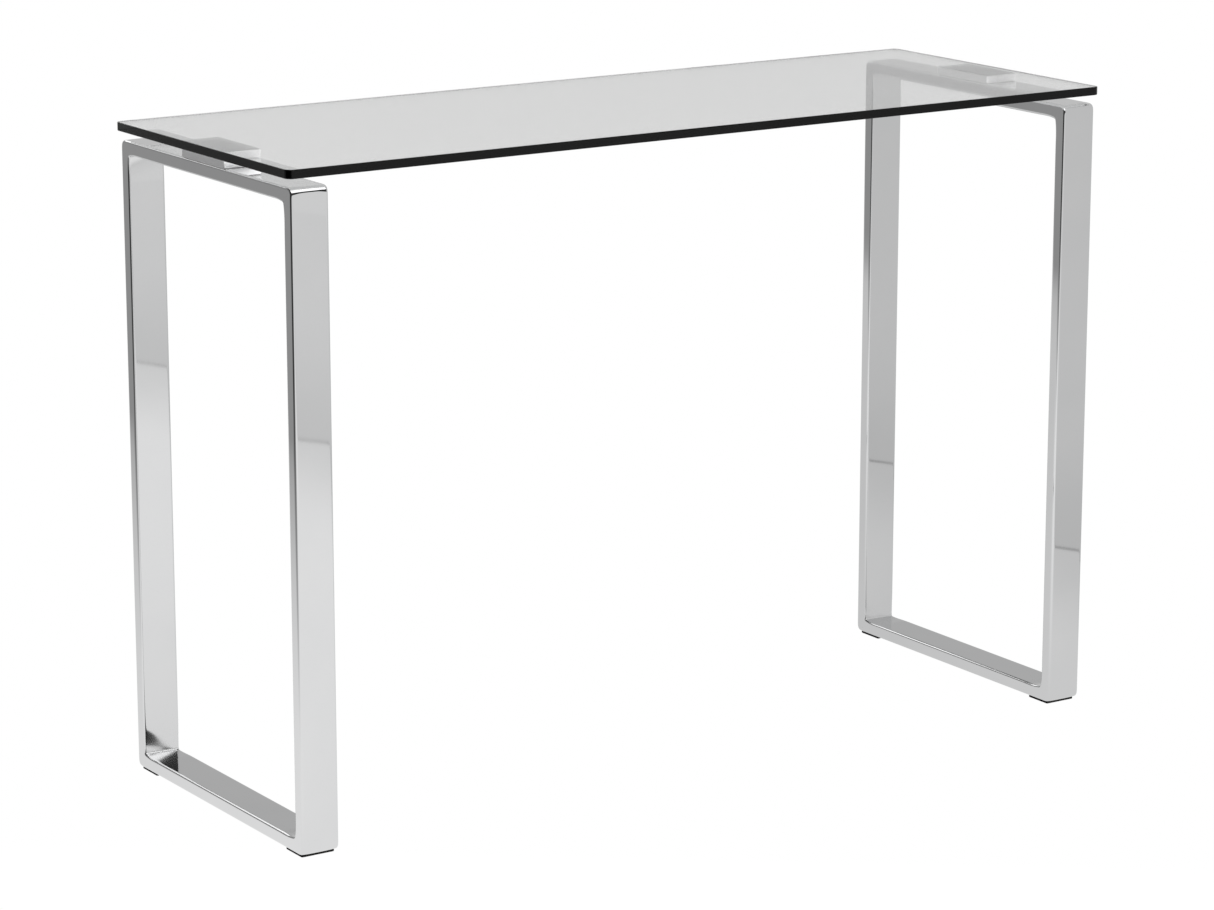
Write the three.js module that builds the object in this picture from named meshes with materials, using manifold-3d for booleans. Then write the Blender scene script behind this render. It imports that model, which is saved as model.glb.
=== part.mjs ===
// Console table: a clear glass top bonded to two upright loops of chromed rectangular tube.
//
// Millimetres, +Z up. The origin is on the floor, centred under the top. +X runs along the
// table's length and +Y points to the wall that it stands against, so "left" is -X and
// "front" is -Y. Nothing on the table moves.

import * as THREE from 'three';
import { mergeVertices } from 'three/addons/utils/BufferGeometryUtils.js';
import Module from 'manifold-3d';

const wasm = await Module();
wasm.setup();

// Whole table
const TABLE_LENGTH = 1100;
const TABLE_DEPTH = 400;
const TABLE_HEIGHT = 760;
const FIT_GAP = 0.3; // left between any two pieces that touch

// Glass top
const GLASS_THICKNESS = 10;
const GLASS_CORNER_RADIUS = 8; // seen from above
const GLASS_ARRIS = 1; // rounding ground on the plate's long edges
const GLASS_END_OVERHANG = 5; // beyond each end frame
const GLASS_SIDE_OVERHANG = 4; // beyond the front legs, and beyond the rear legs

// Tube of the end frames
const TUBE_WIDTH = 46; // along the table's length
const TUBE_THICKNESS = 16; // in the frame's own plane
const TUBE_WALL = 2;
const TUBE_EDGE_RADIUS = 2.5;
const FRAME_CORNER_RADIUS = 7; // outside of each mitred corner, ground round
const FRAME_FILLET_RADIUS = 2.5; // inside of each mitred corner

// Spacer block, and the adhesive between it and the glass
const BLOCK_LENGTH = 97; // along the rail
const BLOCK_HEIGHT = 9;
const BLOCK_CORNER_RADIUS = 1.5; // seen from above
const BLOCK_EDGE_RADIUS = 0.6;
const BOND_THICKNESS = 0.4;
const BOND_MARGIN = 1; // the film stops this short of the block's edges

// Screws that hold the block, put in from below through the top rail
const SCREW_SPACING = 60;
const SCREW_RADIUS = 3;
const SCREW_LENGTH = 12;
const SCREW_HEAD_RADIUS = 5;
const SCREW_HEAD_HEIGHT = 6;
const SCREW_CHAMFER = 0.6;
const SOCKET_ACROSS_FLATS = 5;
const SOCKET_DEPTH = 3;
const THREAD_RUN_OUT = 0.8; // free depth of the block's hole beyond the screw's tip
const WASHER_RADIUS = 6;
const WASHER_THICKNESS = 1.6;

// Plugs in the rail's access holes
const ACCESS_HOLE_RADIUS = 6.5;
const PLUG_FLANGE_RADIUS = 8;
const PLUG_FLANGE_THICKNESS = 1.5;
const PLUG_WALL = 1.4;
const PLUG_SNAP_LENGTH = 1; // how far the plug's rim reaches past the tube's wall

// Foot pads
const PAD_WIDTH = 41;
const PAD_LENGTH = 36;
const PAD_THICKNESS = 2.5;
const PAD_INSET = 6; // from the frame's front or rear face
const PAD_CORNER_RADIUS = 2;

// Fineness of the round shapes
const ARC_SEGMENTS = 3; // half the number of steps in a quarter circle of an outline
const EDGE_SEGMENTS = 2;
const LATHE_SEGMENTS = 24;
const HEXAGON = 6;

// Derived sizes and levels
const FRAME_DEPTH = TABLE_DEPTH - 2 * GLASS_SIDE_OVERHANG;
const FRAME_BASE = PAD_THICKNESS + FIT_GAP;
const GLASS_BASE = TABLE_HEIGHT - GLASS_THICKNESS;
const BOND_BASE = GLASS_BASE - FIT_GAP - BOND_THICKNESS;
const BLOCK_BASE = BOND_BASE - FIT_GAP - BLOCK_HEIGHT;
const FRAME_TOP = BLOCK_BASE - FIT_GAP;
const FRAME_HEIGHT = FRAME_TOP - FRAME_BASE;
const FRAME_CENTRE_X = TABLE_LENGTH / 2 - GLASS_END_OVERHANG - TUBE_WIDTH / 2;
const FRAME_CENTRE_Z = (FRAME_TOP + FRAME_BASE) / 2;
const RAIL_CEILING = FRAME_TOP - TUBE_WALL; // inside of the top rail's upper wall
const RAIL_UNDERSIDE = FRAME_TOP - TUBE_THICKNESS;
const WASHER_BASE = RAIL_CEILING - FIT_GAP - WASHER_THICKNESS;
const SCREW_SEAT = WASHER_BASE - FIT_GAP; // top of the screw's head
const SCREW_TIP = SCREW_SEAT + SCREW_LENGTH;
const SCREW_HOLE_RADIUS = SCREW_RADIUS + FIT_GAP;
const PLUG_STEM_RADIUS = ACCESS_HOLE_RADIUS - FIT_GAP;
const PLUG_STEM_LENGTH = FIT_GAP + TUBE_WALL + PLUG_SNAP_LENGTH;
const CUT_MARGIN = 5; // how far a cutting shape reaches past what it cuts

const MATERIALS = {
  glass: new THREE.MeshStandardMaterial({
    color: 0xdfe5e4, roughness: 0.02, metalness: 0, transparent: true, opacity: 0.35,
  }),
  chrome: new THREE.MeshStandardMaterial({ color: 0xd2d3d5, roughness: 0.06, metalness: 1 }),
  aluminium: new THREE.MeshStandardMaterial({ color: 0xdcdcde, roughness: 0.4, metalness: 1 }),
  adhesive: new THREE.MeshStandardMaterial({ color: 0x8f9192, roughness: 0.3, metalness: 0 }),
  zinc: new THREE.MeshStandardMaterial({ color: 0xaab0b5, roughness: 0.35, metalness: 1 }),
  plastic: new THREE.MeshStandardMaterial({ color: 0x1b1b1c, roughness: 0.55, metalness: 0 }),
  rubber: new THREE.MeshStandardMaterial({ color: 0x101011, roughness: 0.85, metalness: 0 }),
};

// A closed mesh with shared vertices, as a manifold solid.
function toSolid(geometry) {
  const bare = geometry.clone();
  bare.deleteAttribute('normal');
  bare.deleteAttribute('uv');
  const merged = mergeVertices(bare, 1e-4);
  const corners = merged.index.array;
  const triangles = [];
  for (let i = 0; i < corners.length; i += 3) {
    const [a, b, c] = corners.slice(i, i + 3);
    if (a !== b && b !== c && c !== a) triangles.push(a, b, c);
  }
  return new wasm.Manifold(new wasm.Mesh({
    numProp: 3,
    vertProperties: new Float32Array(merged.attributes.position.array),
    triVerts: new Uint32Array(triangles),
  }));
}

function toGeometry(solid) {
  const mesh = solid.getMesh();
  const geometry = new THREE.BufferGeometry();
  geometry.setAttribute('position', new THREE.BufferAttribute(mesh.vertProperties, 3));
  geometry.setIndex(new THREE.BufferAttribute(mesh.triVerts, 1));
  geometry.computeVertexNormals();
  return geometry;
}

// A rectangle with round corners, centred on the origin.
function roundedRectangle(width, height, radius, Outline = THREE.Shape) {
  const x = width / 2 - radius;
  const y = height / 2 - radius;
  const quarter = Math.PI / 2;
  const outline = new Outline();
  outline.absarc(x, y, radius, 0, quarter);
  outline.absarc(-x, y, radius, quarter, 2 * quarter);
  outline.absarc(-x, -y, radius, 2 * quarter, 3 * quarter);
  outline.absarc(x, -y, radius, 3 * quarter, 4 * quarter);
  outline.closePath();
  return outline;
}

// A plate of an outline, rounded on its edges and centred on the origin's plane.
function plate(outline, thickness, edgeRadius) {
  const geometry = new THREE.ExtrudeGeometry(outline, {
    depth: thickness - 2 * edgeRadius,
    curveSegments: ARC_SEGMENTS,
    bevelEnabled: edgeRadius > 0,
    bevelThickness: edgeRadius,
    bevelSize: edgeRadius,
    bevelOffset: -edgeRadius,
    bevelSegments: EDGE_SEGMENTS,
  });
  return geometry.translate(0, 0, edgeRadius - thickness / 2);
}

// A profile of [radius, height] points turned about the vertical axis.
function turned(profile) {
  const points = profile.map(([radius, height]) => new THREE.Vector2(radius, height));
  return new THREE.LatheGeometry(points, LATHE_SEGMENTS).rotateX(Math.PI / 2);
}

function verticalCylinder(radius, low, high, y) {
  const geometry = new THREE.CylinderGeometry(radius, radius, high - low, LATHE_SEGMENTS);
  return toSolid(geometry.rotateX(Math.PI / 2).translate(0, y, (low + high) / 2));
}

// Outlines drawn in the frame's plane (Y across, Z up) and given width along X.
function intoFramePlane(geometry) {
  const axes = new THREE.Matrix4().makeBasis(
    new THREE.Vector3(0, 1, 0),
    new THREE.Vector3(0, 0, 1),
    new THREE.Vector3(1, 0, 0),
  );
  return geometry.applyMatrix4(axes);
}

// A closed loop, inset from the tube's faces by a distance all round.
function frameLoop(inset, edgeRadius) {
  const outline = roundedRectangle(
    FRAME_DEPTH - 2 * inset,
    FRAME_HEIGHT - 2 * inset,
    FRAME_CORNER_RADIUS - inset,
  );
  outline.holes.push(roundedRectangle(
    FRAME_DEPTH - 2 * (TUBE_THICKNESS - inset),
    FRAME_HEIGHT - 2 * (TUBE_THICKNESS - inset),
    FRAME_FILLET_RADIUS + inset,
    THREE.Path,
  ));
  return toSolid(intoFramePlane(plate(outline, TUBE_WIDTH - 2 * inset, edgeRadius)));
}

// The wedge of space that holds one side of the loop, between its two mitre planes. The side
// lies at the top of the wedge, `across` above the frame's centre and `along` to each hand.
function mitreWedge(across, along, turns) {
  const shift = FIT_GAP / Math.SQRT2; // moves a 45 degree plane by half the gap
  const reach = along + CUT_MARGIN;
  const top = across + CUT_MARGIN + shift;
  const outline = new THREE.Shape([
    new THREE.Vector2(0, across - along + shift),
    new THREE.Vector2(reach, top),
    new THREE.Vector2(-reach, top),
  ]);
  const wedge = intoFramePlane(plate(outline, TUBE_WIDTH + 2 * CUT_MARGIN, 0));
  return toSolid(wedge.rotateX(turns * Math.PI / 2));
}

function tubeMembers() {
  const loop = frameLoop(0, TUBE_EDGE_RADIUS).subtract(frameLoop(TUBE_WALL, 0));
  const halfDepth = FRAME_DEPTH / 2;
  const halfHeight = FRAME_HEIGHT / 2;
  const rail = (turns) => loop.intersect(mitreWedge(halfHeight, halfDepth, turns));
  const leg = (turns) => loop.intersect(mitreWedge(halfDepth, halfHeight, turns));
  return {
    top_rail: drilled(rail(0)),
    rear_leg: leg(3),
    bottom_rail: rail(2),
    front_leg: leg(1),
  };
}

// The top rail's screw holes: a wide one in the lower wall and a close one in the upper wall.
function drilled(rail) {
  const middle = RAIL_UNDERSIDE + TUBE_THICKNESS / 2 - FRAME_CENTRE_Z;
  const reach = TUBE_THICKNESS / 2 + CUT_MARGIN;
  let holed = rail;
  for (const side of [-1, 1]) {
    const y = side * SCREW_SPACING / 2;
    holed = holed
      .subtract(verticalCylinder(ACCESS_HOLE_RADIUS, middle - reach, middle, y))
      .subtract(verticalCylinder(SCREW_HOLE_RADIUS, middle, middle + reach, y));
  }
  return holed;
}

function glassGeometry() {
  const outline = roundedRectangle(TABLE_LENGTH, TABLE_DEPTH, GLASS_CORNER_RADIUS);
  return plate(outline, GLASS_THICKNESS, GLASS_ARRIS);
}

function blockGeometry() {
  const outline = roundedRectangle(TUBE_WIDTH, BLOCK_LENGTH, BLOCK_CORNER_RADIUS);
  let block = toSolid(plate(outline, BLOCK_HEIGHT, BLOCK_EDGE_RADIUS));
  const underside = -BLOCK_HEIGHT / 2;
  const holeTop = underside + SCREW_TIP + THREAD_RUN_OUT - BLOCK_BASE;
  for (const side of [-1, 1]) {
    const y = side * SCREW_SPACING / 2;
    const hole = verticalCylinder(SCREW_HOLE_RADIUS, underside - CUT_MARGIN, holeTop, y);
    block = block.subtract(hole);
  }
  return toGeometry(block);
}

function bondGeometry() {
  return new THREE.BoxGeometry(
    TUBE_WIDTH - 2 * BOND_MARGIN,
    BLOCK_LENGTH - 2 * BOND_MARGIN,
    BOND_THICKNESS,
  );
}

// A socket head cap screw, head down, with its seat at height 0.
function screwGeometry() {
  const body = toSolid(turned([
    [0, -SCREW_HEAD_HEIGHT],
    [SCREW_HEAD_RADIUS - SCREW_CHAMFER, -SCREW_HEAD_HEIGHT],
    [SCREW_HEAD_RADIUS, SCREW_CHAMFER - SCREW_HEAD_HEIGHT],
    [SCREW_HEAD_RADIUS, 0],
    [SCREW_RADIUS, 0],
    [SCREW_RADIUS, SCREW_LENGTH - SCREW_CHAMFER],
    [SCREW_RADIUS - SCREW_CHAMFER, SCREW_LENGTH],
    [0, SCREW_LENGTH],
  ]));
  const acrossCorners = SOCKET_ACROSS_FLATS / Math.cos(Math.PI / HEXAGON);
  const key = new THREE.CylinderGeometry(
    acrossCorners / 2,
    acrossCorners / 2,
    2 * SOCKET_DEPTH,
    HEXAGON,
  );
  const socket = toSolid(key.rotateX(Math.PI / 2).translate(0, 0, -SCREW_HEAD_HEIGHT));
  return toGeometry(body.subtract(socket));
}

function washerGeometry() {
  return turned([
    [SCREW_HOLE_RADIUS, 0],
    [WASHER_RADIUS, 0],
    [WASHER_RADIUS, WASHER_THICKNESS],
    [SCREW_HOLE_RADIUS, WASHER_THICKNESS],
    [SCREW_HOLE_RADIUS, 0],
  ]);
}

// A cup-shaped push-in plug; height 0 is the top of its flange.
function plugGeometry() {
  return turned([
    [0, -PLUG_FLANGE_THICKNESS],
    [PLUG_FLANGE_RADIUS, -PLUG_FLANGE_THICKNESS],
    [PLUG_FLANGE_RADIUS, 0],
    [PLUG_STEM_RADIUS, 0],
    [PLUG_STEM_RADIUS, PLUG_STEM_LENGTH],
    [PLUG_STEM_RADIUS - PLUG_WALL, PLUG_STEM_LENGTH],
    [PLUG_STEM_RADIUS - PLUG_WALL, 0],
    [0, 0],
  ]);
}

function padGeometry() {
  return plate(roundedRectangle(PAD_WIDTH, PAD_LENGTH, PAD_CORNER_RADIUS), PAD_THICKNESS, 0);
}

function piece(name, geometry, material, x = 0, y = 0, z = 0) {
  const mesh = new THREE.Mesh(geometry, material);
  mesh.name = name;
  mesh.position.set(x, y, z);
  return mesh;
}

// One upright loop of four mitred tubes. Its group's origin is the loop's centre.
function tubeFrame(side) {
  const frame = new THREE.Group();
  for (const [member, solid] of Object.entries(tubeMembers())) {
    frame.add(piece(`${side}_${member}`, toGeometry(solid), MATERIALS.chrome));
  }
  frame.position.z = FRAME_CENTRE_Z;
  return frame;
}

// What joins the frame to the glass, and what it stands on. Heights are above the floor.
function fittings(side) {
  const fitted = new THREE.Group();
  const blockCentre = BLOCK_BASE + BLOCK_HEIGHT / 2;
  const bondCentre = BOND_BASE + BOND_THICKNESS / 2;
  fitted.add(
    piece(`${side}_spacer_block`, blockGeometry(), MATERIALS.aluminium, 0, 0, blockCentre),
    piece(`${side}_bond_film`, bondGeometry(), MATERIALS.adhesive, 0, 0, bondCentre),
  );
  for (const [end, sign] of [['front', -1], ['rear', 1]]) {
    const name = `${side}_${end}`;
    const screwY = sign * SCREW_SPACING / 2;
    const padY = sign * (FRAME_DEPTH / 2 - PAD_INSET - PAD_LENGTH / 2);
    const plugTop = RAIL_UNDERSIDE - FIT_GAP;
    fitted.add(
      piece(`${name}_block_screw`, screwGeometry(), MATERIALS.zinc, 0, screwY, SCREW_SEAT),
      piece(`${name}_washer`, washerGeometry(), MATERIALS.zinc, 0, screwY, WASHER_BASE),
      piece(`${name}_hole_plug`, plugGeometry(), MATERIALS.plastic, 0, screwY, plugTop),
      piece(`${name}_foot_pad`, padGeometry(), MATERIALS.rubber, 0, padY, PAD_THICKNESS / 2),
    );
  }
  return fitted;
}

function consoleTable() {
  const table = new THREE.Group();
  const glassCentre = GLASS_BASE + GLASS_THICKNESS / 2;
  table.add(piece('glass_top', glassGeometry(), MATERIALS.glass, 0, 0, glassCentre));
  for (const [side, sign] of [['left', -1], ['right', 1]]) {
    const end = new THREE.Group();
    end.add(tubeFrame(side), fittings(side));
    end.position.x = sign * FRAME_CENTRE_X;
    table.add(end);
  }
  return table;
}

export default consoleTable();
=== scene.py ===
"""Looks of a console table: a clear glass top on two upright loops of chromed flat tube.

Metres, +Z up. The origin is on the floor, centred under the top. +X runs along the table's
length and +Y points to its rear, so "left" is -X and "front" is -Y.
"""

import math

import bpy
from mathutils import Matrix, Vector


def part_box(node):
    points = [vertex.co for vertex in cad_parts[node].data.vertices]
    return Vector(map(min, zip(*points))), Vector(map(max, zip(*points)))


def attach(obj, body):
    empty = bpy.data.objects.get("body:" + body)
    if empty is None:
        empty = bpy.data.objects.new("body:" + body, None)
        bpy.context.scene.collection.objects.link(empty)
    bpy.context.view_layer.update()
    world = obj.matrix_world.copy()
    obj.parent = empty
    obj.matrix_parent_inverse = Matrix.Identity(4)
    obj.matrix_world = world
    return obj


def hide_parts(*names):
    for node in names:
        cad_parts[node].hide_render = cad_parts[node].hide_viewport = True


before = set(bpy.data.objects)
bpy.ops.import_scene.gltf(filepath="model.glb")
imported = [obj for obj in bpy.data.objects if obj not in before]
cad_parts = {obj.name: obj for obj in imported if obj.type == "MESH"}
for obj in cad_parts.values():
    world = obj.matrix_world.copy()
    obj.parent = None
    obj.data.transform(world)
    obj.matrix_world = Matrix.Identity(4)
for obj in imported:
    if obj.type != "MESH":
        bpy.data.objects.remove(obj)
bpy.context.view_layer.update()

SIDES = ("left", "right")
ENDS = ("front", "rear")
MEMBERS = ("front_leg", "rear_leg", "top_rail", "bottom_rail")

TO_RIGHT = Vector((1.0, 0.0, 0.0))
TO_REAR = Vector((0.0, 1.0, 0.0))
TO_TOP = Vector((0.0, 0.0, 1.0))

# Tube of the end frames. Its outer corners change from mid-width to the tube's long edges, and
# its inner corners from the tube's right-hand edge to its left-hand one. Turns are in radians.
TUBE_THICKNESS = 0.016
EDGE_REACH = 0.004
EDGE_POWER = 3.2
CORNER_REACH = (0.0068, 0.014)
CORNER_POWER = (2.2, 4.0)
CORNER_FLARE = 4
FILLET_RADIUS = 0.0022
DISH_LENGTH = 0.032
DISH_TURN = (0.03, 0.22)
HOLLOW_TURN = 0.04

# Plates: glass, blocks, pads and plugs
GLASS_CORNER_RADIUS = 0.008
GLASS_ARRIS = 0.001
BLOCK_CORNER_RADIUS = 0.0015
BLOCK_EDGE_RADIUS = 0.0006
PAD_CORNER_RADIUS = 0.002
PAD_EDGE_RADIUS = 0.0005
PLUG_FLANGE_THICKNESS = 0.0015
PLUG_STEM_RADIUS = 0.0062
PLUG_EDGE_RADIUS = 0.0005

# Steps round or along each shape. Points closer than SAME_PLACE count as one.
DISH_STEPS = 12
FILLET_STEPS = 4
CORNER_STEPS = 2 * (DISH_STEPS + FILLET_STEPS)
EDGE_STEPS = 12
FLAT_STEPS = 12
ARRIS_STEPS = 6
SAME_PLACE = 0.000001

# Inner faces of the end frames, as distances from the frame's middle, and its middle's height
LEG_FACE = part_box("left_rear_leg")[0][1]
FRAME_MIDDLE = (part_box("left_bottom_rail")[0][2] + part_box("left_top_rail")[1][2]) / 2
RAIL_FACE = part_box("left_top_rail")[0][2] - FRAME_MIDDLE

# Finishes. Colours and roughnesses run from one value to the other with the material's noise,
# some of them only within a range of it. Lines are counted per metre along each axis.
NOISE_ROUGHNESS = 0.55

CHROME_COLOURS = ((0.655, 0.66, 0.665), (0.7, 0.7, 0.702))
CHROME_ROUGHNESS = (0.012, 0.047)
LEG_LINES = (900.0, 900.0, 12.0)
RAIL_LINES = (900.0, 12.0, 900.0)
DRESSED_REACH = 0.05
DRESSED_HAZE = 0.11

SMEAR_RANGE = (0.35, 0.75)
FACE_TINT = (1.0, 1.0, 1.0)
FACE_ROUGHNESS = (0.0, 0.006)
FACE_IOR = 1.52
# The edge's near-black tint is painted shade, for the dark that long paths through the glass give the
# ground edge.
EDGE_SHADE_TINT = (0.02, 0.022, 0.021)
EDGE_ROUGHNESS = (0.05, 0.12)
EDGE_IOR = 1.3
GLASS_ABSORPTION = (0.0, 0.02, 0.015, 1.0)
GLASS_DENSITY = 12.0

ALUMINIUM_COLOURS = ((0.86, 0.86, 0.87), (0.94, 0.94, 0.94))
ALUMINIUM_ROUGHNESS = (0.3, 0.42)
ALUMINIUM_METALLIC = 0.4

BUBBLE_RANGE = (0.5, 0.75)
ADHESIVE_COLOURS = ((0.9, 0.91, 0.91), (0.97, 0.97, 0.97))
ADHESIVE_ROUGHNESS = (0.06, 0.3)
ADHESIVE_IOR = 1.48

ZINC_COLOURS = ((0.56, 0.58, 0.61), (0.72, 0.73, 0.74))
ZINC_ROUGHNESS = (0.22, 0.47)

DUST_RANGE = (0.3, 0.7)
PLASTIC_COLOURS = ((0.012, 0.012, 0.012), (0.024, 0.024, 0.023))
PLASTIC_ROUGHNESS = (0.4, 0.55)
PLASTIC_GRAIN_SCALE = 1500.0
PLASTIC_SHINE = 0.5
RUBBER_COLOURS = ((0.003, 0.003, 0.003), (0.008, 0.008, 0.0075))
RUBBER_ROUGHNESS = (0.7, 0.9)
RUBBER_GRAIN_SCALE = 1100.0
RUBBER_SHINE = 0.1

# Camera
VIEW_AZIMUTH = math.radians(-33.3)
VIEW_ELEVATION = math.radians(13.5)
VIEW_DISTANCE = 4.82
VIEW_TARGET = Vector((0.0, 0.03, 0.336))
LENS = 120.5
SENSOR = 36.0
FARTHEST_SEEN = 120.0

# Floor and wall, as reflections show them. Their glow is painted light and shade: a pool of light that
# fades away, darker beside the wall, and a painted shadow line along the wall's foot. A fade or glow
# is (from, to, shade at the first, shade at the second): a stretch in metres, and shades in parts of
# white.
FLOOR_HALF = 30.0
POOL_WAY = (0.6, 0.8, 0.0)
POOL_FADE = (-0.8, 0.7, 1.04, 0.75)
FAR_LEFT_FADE = (-2.93, -0.93, 0.07, 1.0)
LEFT_FADE = (-1.8, -0.75, 0.56, 1.0)
REAR_LEFT_WAY = (-0.8, 0.6, 0.0)
REAR_LEFT_FADE = (1.95, 2.4, 1.0, 0.65)
REAR_GLOW = (0.3, 1.6, 0.0, 0.36)
WALL_NORMAL = (0.899, -0.438, 0.0)
WALL_OFFSET = 1.24
WALL_FADE = (0.75, WALL_OFFSET, 1.0, 0.84)
WALL_SHADE = (-2.0, -0.4, 0.84, 0.71)
WALL_FOOT_SHADE = (0.0, 0.2, 0.9, 1.0)
WALL_FRONT = -2.7
WALL_STEP = -0.75
WALL_BACK = 2.5
WALL_HEIGHT = 2.4
WALL_LOW_HEIGHT = 0.36
SEAM_WIDTH = 0.014
SEAM_SHADE = 0.6

# Room. These fades run over one part of the direction looked in, which is 1 long.
BACKDROP_REACH = (0.0, 0.35, 0.0, 1.0)
BACKDROP_SHADE = (-0.6, 0.3, 0.36, 0.66)
BACKDROP_FADE = (0.32, 0.5, 1.0, 0.25)
HORIZON_GLOW = (0.16, 0.27, 0.11, 0.0)
HORIZON_REACH = (0.1, 0.4)
ROOM_SHADE = 0.06

# Lights. A radiance of 1 looks just white.
BANK_RADIANCE = 1.7
BANK_CENTRE = Vector((0.45, -3.1, 2.7))
BANK_SIZE = (4.3, 5.0)
REAR_RADIANCE = 1.5
REAR_CENTRE = Vector((0.0, 4.2, 3.02))
REAR_SIZE = (4.0, 1.3)
KEY_RADIANCE = 40.0
KEY_CENTRE = Vector((0.6, -3.5, 0.42))
KEY_SIZE = (2.4, 0.8)


# ---------------------------------------------------------------- node helpers


class Nodes:
    """A short way to write a node tree, mostly with one call for each node and its links."""

    def __init__(self, tree):
        self.tree = tree
        tree.nodes.clear()

    def add(self, kind, **settings):
        node = self.tree.nodes.new(kind)
        for name, value in settings.items():
            setattr(node, name, value)
        return node

    def feed(self, socket, value):
        """Links another node's output to the socket, or sets the socket to a plain value."""
        if isinstance(value, bpy.types.NodeSocket):
            self.tree.links.new(value, socket)
        else:
            socket.default_value = value

    def math(self, operation, first, second=0.0, third=0.0):
        node = self.add("ShaderNodeMath", operation=operation)
        for socket, value in zip(node.inputs, (first, second, third)):
            self.feed(socket, value)
        return node.outputs["Value"]

    def spread(self, share, low, high):
        """From low to high, in step with share."""
        return self.math("MULTIPLY_ADD", share, high - low, low)

    def ramp(self, value, low, high, to_low=0.0, to_high=1.0):
        """A smooth step of value from low to high."""
        node = self.add("ShaderNodeMapRange", interpolation_type="SMOOTHSTEP")
        self.feed(node.inputs["Value"], value)
        self.feed(node.inputs["From Min"], low)
        self.feed(node.inputs["From Max"], high)
        self.feed(node.inputs["To Min"], to_low)
        self.feed(node.inputs["To Max"], to_high)
        return node.outputs["Result"]

    def dot(self, vector, direction):
        node = self.add("ShaderNodeVectorMath", operation="DOT_PRODUCT")
        self.feed(node.inputs[0], vector)
        self.feed(node.inputs[1], direction)
        return node.outputs["Value"]

    def place(self):
        """The point on the surface, in the object's own space."""
        return self.add("ShaderNodeTexCoord").outputs["Object"]

    def stretched(self, vector, scale):
        node = self.add("ShaderNodeMapping")
        self.feed(node.inputs["Vector"], vector)
        self.feed(node.inputs["Scale"], scale)
        return node.outputs["Vector"]

    def noise(self, vector, scale, detail):
        node = self.add("ShaderNodeTexNoise")
        self.feed(node.inputs["Vector"], vector)
        self.feed(node.inputs["Scale"], scale)
        self.feed(node.inputs["Detail"], detail)
        self.feed(node.inputs["Roughness"], NOISE_ROUGHNESS)
        return node.outputs["Fac"]

    def bump(self, height, strength, distance, normal=None):
        node = self.add("ShaderNodeBump")
        self.feed(node.inputs["Height"], height)
        self.feed(node.inputs["Strength"], strength)
        self.feed(node.inputs["Distance"], distance)
        if normal is not None:
            self.feed(node.inputs["Normal"], normal)
        return node.outputs["Normal"]

    def blend(self, share, dark, light):
        node = self.add("ShaderNodeMix", data_type="RGBA")
        self.feed(node.inputs["Factor"], share)
        self.feed(node.inputs["A"], (*dark, 1.0))
        self.feed(node.inputs["B"], (*light, 1.0))
        return node.outputs["Result"]

    def shader(self, **inputs):
        """A principled surface. Inputs are named as its sockets are, with _ for a space."""
        node = self.add("ShaderNodeBsdfPrincipled")
        for name, value in inputs.items():
            self.feed(node.inputs[name.replace("_", " ")], value)
        output = self.add("ShaderNodeOutputMaterial")
        self.feed(output.inputs["Surface"], node.outputs["BSDF"])
        return output


def new_material(name):
    material = bpy.data.materials.new(name)
    material.use_nodes = True
    return material, Nodes(material.node_tree)


# ---------------------------------------------------------------- materials


def inner_side(n, distance, face):
    """1 at an inner face of the frame, falling to 0 over the dressed reach and behind the face."""
    before = n.ramp(distance, face - DRESSED_REACH, face)
    behind = n.ramp(distance, face + FILLET_RADIUS, face + 2 * FILLET_RADIUS)
    return n.math("SUBTRACT", before, behind)


def chrome_material():
    """Chrome plate on hand-polished steel: faint polishing lines, haze and a slow ripple.

    The haze is heavier in the frame's inner corners, where the welds were dressed by hand.
    """
    material, n = new_material("chrome_plate")
    place = n.place()
    haze = n.noise(place, scale=14.0, detail=5.0)
    ripple = n.noise(place, scale=9.0, detail=1.0)
    on_legs = n.noise(n.stretched(place, LEG_LINES), scale=1.0, detail=2.0)
    on_rails = n.noise(n.stretched(place, RAIL_LINES), scale=1.0, detail=2.0)
    from_middle = n.math("ABSOLUTE", n.dot(place, TO_REAR))
    is_leg = n.ramp(from_middle, LEG_FACE - FILLET_RADIUS, LEG_FACE + FILLET_RADIUS)
    lines = n.math("MULTIPLY_ADD", is_leg, n.math("SUBTRACT", on_legs, on_rails), on_rails)
    height = n.math("SUBTRACT", n.dot(place, TO_TOP), FRAME_MIDDLE)
    near_leg = inner_side(n, from_middle, LEG_FACE)
    near_rail = inner_side(n, n.math("ABSOLUTE", height), RAIL_FACE)
    dressed = n.math("MULTIPLY", near_leg, near_rail)
    plain = n.spread(haze, *CHROME_ROUGHNESS)
    fine = n.bump(lines, strength=0.04, distance=0.00002)
    n.shader(
        Base_Color=n.blend(haze, *CHROME_COLOURS),
        Metallic=1.0,
        Roughness=n.math("MULTIPLY_ADD", dressed, DRESSED_HAZE, plain),
        Normal=n.bump(ripple, strength=0.12, distance=0.0004, normal=fine),
    )
    return material


def glass_material(name, tint, roughness, index):
    """Float glass, lightly smeared, that darkens what is seen through a long stretch of it."""
    material, n = new_material(name)
    smear = n.noise(n.place(), scale=5.0, detail=6.0)
    output = n.shader(
        Base_Color=(*tint, 1.0),
        Transmission_Weight=1.0,
        IOR=index,
        Roughness=n.ramp(smear, *SMEAR_RANGE, *roughness),
    )
    absorb = n.add("ShaderNodeVolumeAbsorption")
    n.feed(absorb.inputs["Color"], GLASS_ABSORPTION)
    n.feed(absorb.inputs["Density"], GLASS_DENSITY)
    n.feed(output.inputs["Volume"], absorb.outputs["Volume"])
    return material


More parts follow.
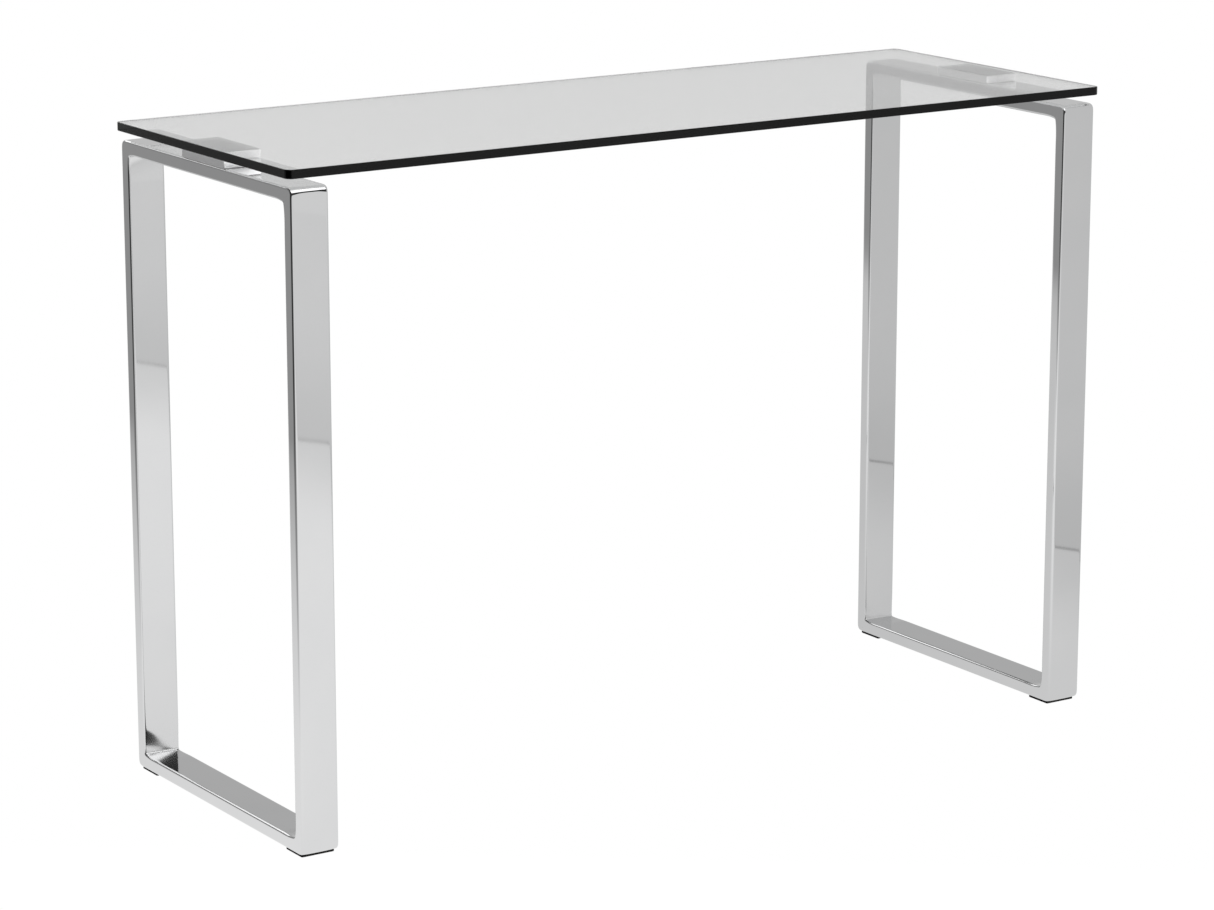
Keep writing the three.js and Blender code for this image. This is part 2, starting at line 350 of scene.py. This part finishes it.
def aluminium_material():
    """Bead-blasted, clear-anodised aluminium."""
    material, n = new_material("satin_aluminium")
    place = n.place()
    grain = n.noise(place, scale=2600.0, detail=2.0)
    patch = n.noise(place, scale=60.0, detail=4.0)
    n.shader(
        Base_Color=n.blend(patch, *ALUMINIUM_COLOURS),
        Metallic=ALUMINIUM_METALLIC,
        Roughness=n.spread(patch, *ALUMINIUM_ROUGHNESS),
        Normal=n.bump(grain, strength=0.25, distance=0.00004),
    )
    return material


def adhesive_material():
    """Cured clear adhesive with fine bubbles and a slight haze."""
    material, n = new_material("clear_adhesive")
    bubbles = n.noise(n.place(), scale=900.0, detail=1.0)
    n.shader(
        Base_Color=n.blend(bubbles, *ADHESIVE_COLOURS),
        Transmission_Weight=1.0,
        IOR=ADHESIVE_IOR,
        Roughness=n.ramp(bubbles, *BUBBLE_RANGE, *ADHESIVE_ROUGHNESS),
    )
    return material


def zinc_material():
    """Bright zinc plate, spangled and lightly scuffed."""
    material, n = new_material("zinc_plate")
    spangle = n.noise(n.place(), scale=420.0, detail=4.0)
    n.shader(
        Base_Color=n.blend(spangle, *ZINC_COLOURS),
        Metallic=1.0,
        Roughness=n.spread(spangle, *ZINC_ROUGHNESS),
        Normal=n.bump(spangle, strength=0.15, distance=0.00005),
    )
    return material


def moulded_material(name, colours, roughness, grain_scale, shine):
    """A matt moulded surface with a fine grain and some dust."""
    material, n = new_material(name)
    place = n.place()
    grain = n.noise(place, scale=grain_scale, detail=3.0)
    dust = n.noise(place, scale=90.0, detail=5.0)
    n.shader(
        Base_Color=n.blend(dust, *colours),
        Roughness=n.ramp(dust, *DUST_RANGE, *roughness),
        Specular_IOR_Level=shine,
        Normal=n.bump(grain, strength=0.35, distance=0.0001),
    )
    return material


MATERIALS = {
    "chromed_tube": chrome_material(),
    "clear_glass": glass_material("clear_glass", FACE_TINT, FACE_ROUGHNESS, FACE_IOR),
    # The ground edge is tinted near black: painted shade.
    "ground_edge_painted_dark": glass_material("ground_glass_edge_painted_dark", EDGE_SHADE_TINT, EDGE_ROUGHNESS, EDGE_IOR),
    "satin_aluminium": aluminium_material(),
    "clear_adhesive": adhesive_material(),
    "zinc_steel": zinc_material(),
    "black_plastic": moulded_material(
        "black_plastic", PLASTIC_COLOURS, PLASTIC_ROUGHNESS, PLASTIC_GRAIN_SCALE, PLASTIC_SHINE
    ),
    "black_rubber": moulded_material(
        "black_rubber", RUBBER_COLOURS, RUBBER_ROUGHNESS, RUBBER_GRAIN_SCALE, RUBBER_SHINE
    ),
}


# ---------------------------------------------------------------- mesh helpers


def make_piece(name, points, normals, faces, slots, face_slots=None):
    """A smooth mesh whose normals are the shape's own, so that flats stay flat to the eye."""
    mesh = bpy.data.meshes.new(name)
    mesh.from_pydata(points, [], faces)
    mesh.polygons.foreach_set("use_smooth", [True] * len(mesh.polygons))
    if face_slots is not None:
        mesh.polygons.foreach_set("material_index", face_slots)
    for slot in slots:
        mesh.materials.append(MATERIALS[slot])
    mesh.normals_split_custom_set_from_vertices(normals)
    mesh.update()
    piece = bpy.data.objects.new(name, mesh)
    bpy.context.scene.collection.objects.link(piece)
    return piece


def grid_faces(rows, columns, close_rows):
    """Quads between neighbouring rows of points; each row is a closed ring of columns."""
    faces = []
    for row in range(rows if close_rows else rows - 1):
        start, following = row * columns, (row + 1) % rows * columns
        for column in range(columns):
            beside = (column + 1) % columns
            faces.append((start + column, start + beside, following + beside, following + column))
    return faces


def surface_normals(points, rows, columns):
    """The ways out of a surface that closes on itself along its rows and across them."""
    normals = []
    for row in range(rows):
        start, before, after = (turn % rows * columns for turn in (row, row - 1, row + 1))
        for column in range(columns):
            along = points[after + column] - points[before + column]
            across = points[start + (column + 1) % columns] - points[start + (column - 1) % columns]
            normals.append(across.cross(along).normalized())
    return normals


def mirrored(half_corner):
    """The other half of a corner, after the point on its diagonal."""
    return [(Vector((p.y, p.x)), Vector((w.y, w.x))) for p, w in reversed(half_corner[:-1])]


def soft_corner(reach, power=2.0, steps=CORNER_STEPS):
    """Points and ways out round one corner, from (reach, 0) to (0, reach).

    A power of 2 makes a quarter circle. A higher one leaves the faces more gently and then
    turns more tightly, as a ground and polished corner does.
    """
    corner = []
    half_steps = steps // 2
    for step in range(half_steps + 1):
        low = 2 ** (-1 / power) * step / half_steps
        high = (1 - low**power) ** (1 / power)
        way_out = Vector((high ** (power - 1), low ** (power - 1))).normalized()
        corner.append((Vector((high, low)) * reach, way_out))
    return corner + mirrored(corner)


def dressed_corner(dish_turn):
    """An inside corner dressed by hand: both faces are hollow, then rise to a tight fillet."""
    rise = (dish_turn / 3 - 2 * HOLLOW_TURN / math.pi) * DISH_LENGTH
    centre = DISH_LENGTH - FILLET_RADIUS * math.sin(dish_turn)
    reach = centre + FILLET_RADIUS * math.cos(dish_turn) + rise
    corner = []
    for step in range(DISH_STEPS):
        run = step / DISH_STEPS
        turn = dish_turn * run**2 - HOLLOW_TURN * math.sin(math.pi * run)
        hollow = HOLLOW_TURN * (1 - math.cos(math.pi * run)) / math.pi
        risen = (dish_turn * run**3 / 3 - hollow) * DISH_LENGTH
        place = Vector((reach - risen, DISH_LENGTH * run))
        corner.append((place, Vector((math.cos(turn), math.sin(turn)))))
    for step in range(FILLET_STEPS + 1):
        turn = dish_turn + (math.pi / 4 - dish_turn) * step / FILLET_STEPS
        way_out = Vector((math.cos(turn), math.sin(turn)))
        corner.append((Vector((centre, centre)) + way_out * FILLET_RADIUS, way_out))
    return corner + mirrored(corner)


def rounded_outline(half_first, half_second, corner):
    """Points round a rectangle with four such corners, each with the way out of it there."""
    outline = []
    reach = corner[0][0].x
    first, second = half_first - reach, half_second - reach
    for cosine, sine in ((1, 0), (0, 1), (-1, 0), (0, -1)):
        middle = Vector((first * (cosine - sine), second * (cosine + sine)))
        turn = Matrix(((cosine, -sine), (sine, cosine)))
        outline += [(middle + turn @ place, turn @ way_out) for place, way_out in corner]
    pairs = zip(outline, outline[1:] + outline[:1])
    return [spot for spot, after in pairs if (after[0] - spot[0]).length > SAME_PLACE]


def with_flat_points(outline):
    """The outline with more points along its two long flats."""
    filled = []
    for (place, way_out), (following, _) in zip(outline, outline[1:] + outline[:1]):
        filled.append((place, way_out))
        if (following - place).length > TUBE_THICKNESS:
            for step in range(1, FLAT_STEPS):
                filled.append((place.lerp(following, step / FLAT_STEPS), way_out))
    return filled


def between(ends, share):
    """The value that lies this share of the way from one end to the other."""
    return ends[0] + (ends[1] - ends[0]) * share


def frame_loop(name, low, high):
    """One welded loop of flat tube. Its outer corners are rounder towards the tube's edges."""
    centre, half = (low + high) / 2, (high - low) / 2
    half_tube = TUBE_THICKNESS / 2
    inner = half - Vector((0.0, TUBE_THICKNESS, TUBE_THICKNESS))
    edge = soft_corner(EDGE_REACH, EDGE_POWER, EDGE_STEPS)
    rings = []
    for (across, depth), _ in with_flat_points(rounded_outline(half.x, half_tube, edge)):
        flare = abs(across / half.x) ** CORNER_FLARE
        outside_corner = soft_corner(between(CORNER_REACH, flare), between(CORNER_POWER, flare))
        inside_corner = dressed_corner(between(DISH_TURN, (1 - across / half.x) / 2))
        if depth > 0:
            outline = rounded_outline(half.y, half.z, outside_corner)
        else:
            outline = rounded_outline(inner.y, inner.z, inside_corner)
        below_face = depth - math.copysign(half_tube, depth)
        spots = [place + way_out * below_face for place, way_out in outline]
        rings.append([centre + Vector((across, spot.x, spot.y)) for spot in spots])
    points = [point for row in zip(*rings) for point in row]
    rows, columns = len(rings[0]), len(rings)
    faces = grid_faces(rows, columns, close_rows=True)
    normals = surface_normals(points, rows, columns)
    return make_piece(name, points, normals, faces, ["chromed_tube"])


def rounded_plate(name, low, high, corner_radius, edge_radius, face_slot, edge_slot=None):
    """A flat plate with round corners in plan and rounded long edges."""
    centre, half = (low + high) / 2, (high - low) / 2
    outline = rounded_outline(half.x, half.y, soft_corner(corner_radius))
    profile = []
    for step in range(ARRIS_STEPS + 1):
        turn = step / ARRIS_STEPS * math.pi / 2
        profile.append((-half.z + edge_radius * (1 - math.cos(turn)), math.sin(turn), -math.cos(turn)))
    profile += [(-height, across, -up) for height, across, up in reversed(profile)]
    points, normals = [], []
    for height, across, up in profile:
        inset = edge_radius * (1 - across)
        for place, way_out in outline:
            spot = place - way_out * inset
            points.append(centre + Vector((spot.x, spot.y, height)))
            normals.append((way_out.x * across, way_out.y * across, up))
    rows, columns = len(profile), len(outline)
    faces = grid_faces(rows, columns, close_rows=False)
    edge_count = len(faces)
    faces.append(tuple(reversed(range(columns))))
    faces.append(tuple(range((rows - 1) * columns, rows * columns)))
    slots = [face_slot] if edge_slot is None else [face_slot, edge_slot]
    face_slots = [len(slots) - 1] * edge_count + [0, 0]
    return make_piece(name, points, normals, faces, slots, face_slots)


def show_instead(piece, slot, *nodes):
    """The piece stands for these CAD nodes."""
    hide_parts(*nodes)
    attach(piece, "root")


def merged_box(nodes):
    """The lowest and the highest corner of what several nodes fill together."""
    boxes = [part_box(node) for node in nodes]
    low = Vector(min(box[0][axis] for box in boxes) for axis in range(3))
    high = Vector(max(box[1][axis] for box in boxes) for axis in range(3))
    return low, high


# ---------------------------------------------------------------- the table


def build_frames():
    for side in SIDES:
        nodes = [f"{side}_{member}" for member in MEMBERS]
        loop = frame_loop(f"{side}_frame_loop", *merged_box(nodes))
        show_instead(loop, "chromed_tube", *nodes)


def build_glass():
    low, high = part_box("glass_top")
    plate = rounded_plate(
        "glass_plate", low, high, GLASS_CORNER_RADIUS, GLASS_ARRIS, "clear_glass", "ground_edge_painted_dark"
    )
    show_instead(plate, "clear_glass", "glass_top")


def build_blocks():
    for side in SIDES:
        node = f"{side}_spacer_block"
        block = rounded_plate(
            f"{side}_block",
            *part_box(node),
            BLOCK_CORNER_RADIUS,
            BLOCK_EDGE_RADIUS,
            "satin_aluminium",
        )
        show_instead(block, "satin_aluminium", node)


def build_pads():
    for side in SIDES:
        for end in ENDS:
            node = f"{side}_{end}_foot_pad"
            pad = rounded_plate(
                f"{side}_{end}_pad",
                *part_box(node),
                PAD_CORNER_RADIUS,
                PAD_EDGE_RADIUS,
                "black_rubber",
            )
            show_instead(pad, "black_rubber", node)


def build_plugs():
    """The caps of the top rails' access holes: a round flange below and a stem inside the rail."""
    for side in SIDES:
        for end in ENDS:
            node = f"{side}_{end}_hole_plug"
            low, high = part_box(node)
            flange_radius = (high.x - low.x) / 2
            flange_top = low.z + PLUG_FLANGE_THICKNESS
            inset = flange_radius - PLUG_STEM_RADIUS
            stem_low = Vector((low.x + inset, low.y + inset, flange_top))
            stem_high = Vector((high.x - inset, high.y - inset, high.z))
            flange_high = Vector((high.x, high.y, flange_top))
            for part, part_low, part_high, radius in (
                ("flange", low, flange_high, flange_radius),
                ("stem", stem_low, stem_high, PLUG_STEM_RADIUS),
            ):
                piece = rounded_plate(
                    f"{side}_{end}_plug_{part}",
                    part_low,
                    part_high,
                    radius,
                    PLUG_EDGE_RADIUS,
                    "black_plastic",
                )
                show_instead(piece, "black_plastic", node)


def dress_small_parts():
    """The hidden fastenings keep their CAD shapes and get their finishes."""
    finishes = {
        "bond_film": "clear_adhesive",
        "block_screw": "zinc_steel",
        "washer": "zinc_steel",
    }
    for name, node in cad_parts.items():
        for ending, slot in finishes.items():
            if name.endswith(ending):
                node.data.materials.clear()
                node.data.materials.append(MATERIALS[slot])


# ---------------------------------------------------------------- stage


def seen_plainly(n):
    """1 where the eye looks straight or through glass, and 0 in reflections."""
    path = n.add("ShaderNodeLightPath")
    return n.math("MAXIMUM", path.outputs["Is Camera Ray"], path.outputs["Is Transmission Ray"])


def stage_sheet(name, corners, material):
    """A flat sheet of the stage, which isn't part of the table."""
    mesh = bpy.data.meshes.new(name)
    mesh.from_pydata(corners, [], [tuple(range(len(corners)))])
    mesh.materials.append(material)
    sheet = bpy.data.objects.new(name, mesh)
    bpy.context.scene.collection.objects.link(sheet)
    return sheet


def glow(n, strength):
    """A surface that shines by this strength and takes no shadow."""
    light = n.add("ShaderNodeEmission")
    n.feed(light.inputs["Strength"], strength)
    output = n.add("ShaderNodeOutputMaterial")
    n.feed(output.inputs["Surface"], light.outputs["Emission"])


def build_floor():
    """White paper to the eye. What the chrome mirrors of it is painted light: a glow shaded as a pool
    of light that fades to the left, darker beside the wall, with a painted shadow line at the wall's
    foot and a painted brightening far to the rear.
    """
    material, n = new_material("floor_painted_light")
    place = n.place()
    pool = n.ramp(n.dot(place, POOL_WAY), *POOL_FADE)
    far_left = n.ramp(n.dot(place, TO_RIGHT), *FAR_LEFT_FADE)
    left = n.ramp(n.dot(place, TO_RIGHT), *LEFT_FADE)
    to_wall = n.dot(place, WALL_NORMAL)
    beside = n.ramp(to_wall, *WALL_FADE)
    # A painted shadow line where the floor meets the wall.
    in_seam = n.math("COMPARE", to_wall, WALL_OFFSET - SEAM_WIDTH / 2, SEAM_WIDTH / 2)
    seam = n.spread(in_seam, 1.0, SEAM_SHADE)
    rear_left = n.ramp(n.dot(place, REAR_LEFT_WAY), *REAR_LEFT_FADE)
    rear_glow = n.ramp(n.dot(place, TO_REAR), *REAR_GLOW)
    lit = pool
    for fade in (far_left, left, beside, rear_left):
        lit = n.math("MULTIPLY", lit, fade)
    in_chrome = n.math("MULTIPLY", n.math("MAXIMUM", lit, rear_glow), seam)
    glow(n, n.math("MAXIMUM", in_chrome, seen_plainly(n)))
    signs = ((-1, -1), (1, -1), (1, 1), (-1, 1))
    corners = [(x * FLOOR_HALF, y * FLOOR_HALF, 0.0) for x, y in signs]
    stage_sheet("floor", corners, material)


def build_wall():
    """A pale wall to the right of the table, low at its front end, seen only in reflections. Its glow
    is painted light, with painted shade: darker towards the rear and at its foot.
    """
    material, n = new_material("wall_painted_light")
    place = n.place()
    along_wall = n.ramp(n.dot(place, TO_REAR), *WALL_SHADE)
    painted_foot_shade = n.ramp(n.dot(place, TO_TOP), *WALL_FOOT_SHADE)
    glow(n, n.math("MULTIPLY", along_wall, painted_foot_shade))
    along = Vector((-WALL_NORMAL[1], WALL_NORMAL[0], 0.0))
    foot = Vector(WALL_NORMAL) * WALL_OFFSET
    outline = (
        (WALL_FRONT, 0.0),
        (WALL_BACK, 0.0),
        (WALL_BACK, WALL_HEIGHT),
        (WALL_STEP, WALL_HEIGHT),
        (WALL_STEP, WALL_LOW_HEIGHT),
        (WALL_FRONT, WALL_LOW_HEIGHT),
    )
    corners = [foot + along * run + TO_TOP * rise for run, rise in outline]
    wall = stage_sheet("wall", corners, material)
    wall.visible_camera = False
    wall.visible_transmission = False
    wall.visible_shadow = False


def build_room():
    """The room round the table: a grey backdrop behind it, and dark on the camera's side."""
    world = bpy.data.worlds.new("room")
    world.use_nodes = True
    bpy.context.scene.world = world
    n = Nodes(world.node_tree)
    towards = n.add("ShaderNodeTexCoord").outputs["Generated"]
    rightwards = n.dot(towards, TO_RIGHT)
    upwards = n.dot(towards, TO_TOP)
    behind = n.ramp(n.dot(towards, TO_REAR), *BACKDROP_REACH)
    level = n.ramp(rightwards, *BACKDROP_SHADE)
    glow_share = n.ramp(rightwards, *HORIZON_REACH)
    shade = n.math("MULTIPLY_ADD", n.ramp(upwards, *HORIZON_GLOW), glow_share, level)
    backdrop = n.math("MULTIPLY", n.math("MULTIPLY", behind, shade), n.ramp(upwards, *BACKDROP_FADE))
    lit = n.math("MAXIMUM", backdrop, ROOM_SHADE)
    background = n.add("ShaderNodeBackground")
    n.feed(background.inputs["Strength"], n.math("MAXIMUM", lit, seen_plainly(n)))
    output = n.add("ShaderNodeOutputWorld")
    n.feed(output.inputs["Surface"], background.outputs["Background"])


def soft_light(name, centre, size, radiance, towards):
    """A rectangle of even light that faces the given way and isn't seen directly."""
    data = bpy.data.lights.new(name, "AREA")
    data.shape = "RECTANGLE"
    data.size, data.size_y = size
    data.energy = radiance * math.pi * size[0] * size[1]
    light = bpy.data.objects.new(name, data)
    light.location = centre
    light.rotation_mode = "QUATERNION"
    light.rotation_quaternion = towards.to_track_quat("-Z", "Y")
    light.visible_camera = False
    bpy.context.scene.collection.objects.link(light)
    return light


def build_lights():
    soft_light("overhead_bank", BANK_CENTRE, BANK_SIZE, BANK_RADIANCE, -TO_TOP)
    rear = soft_light("rear_strip", REAR_CENTRE, REAR_SIZE, REAR_RADIANCE, -TO_REAR)
    rear.visible_transmission = False
    key = soft_light("low_key", KEY_CENTRE, KEY_SIZE, KEY_RADIANCE, TO_REAR)
    key.visible_glossy = False
    key.visible_transmission = False


def build_camera():
    data = bpy.data.cameras.new("camera")
    data.lens = LENS
    data.sensor_width = SENSOR
    data.clip_end = FARTHEST_SEEN
    camera = bpy.data.objects.new("camera", data)
    back = Vector(
        (
            math.sin(VIEW_AZIMUTH) * math.cos(VIEW_ELEVATION),
            -math.cos(VIEW_AZIMUTH) * math.cos(VIEW_ELEVATION),
            math.sin(VIEW_ELEVATION),
        )
    )
    camera.location = VIEW_TARGET + back * VIEW_DISTANCE
    camera.rotation_mode = "QUATERNION"
    camera.rotation_quaternion = (-back).to_track_quat("-Z", "Y")
    bpy.context.scene.collection.objects.link(camera)
    bpy.context.scene.camera = camera


build_camera()
build_frames()
build_glass()
build_blocks()
build_pads()
build_plugs()
dress_small_parts()
build_floor()
build_wall()
build_room()
build_lights()
bpy.context.scene.view_settings.view_transform = "Standard"
